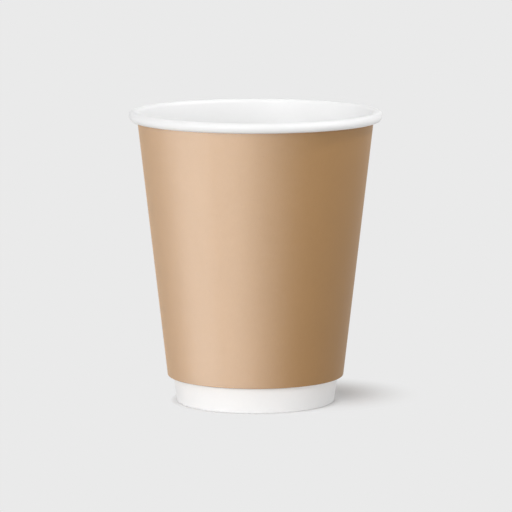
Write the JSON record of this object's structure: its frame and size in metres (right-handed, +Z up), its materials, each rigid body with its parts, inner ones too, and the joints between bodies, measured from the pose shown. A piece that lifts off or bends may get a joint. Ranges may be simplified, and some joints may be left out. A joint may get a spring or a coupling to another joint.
{
  "type": "paper coffee cup",
  "caption": "Small double-wall paper coffee cup: white inner cup with a rolled rim and folded foot, and a kraft outer wall with an air gap.",
  "frame": {"origin": "on the table, at the centre of the cup's foot", "axes": "+Z up the cup's axis, towards the rim; the cup wall's seam lies 8 degrees from +X and the sleeve's near +Y, at the back"},
  "size_m": [0.08, 0.08, 0.0925],
  "materials": {
    "white_board": "satin",
    "kraft_board": "satin"
  },
  "bodies": {
    "root": {"cup_wall": "white_board", "base_disc": "white_board", "outer_sleeve": "kraft_board"}
  },
  "joints": []
}
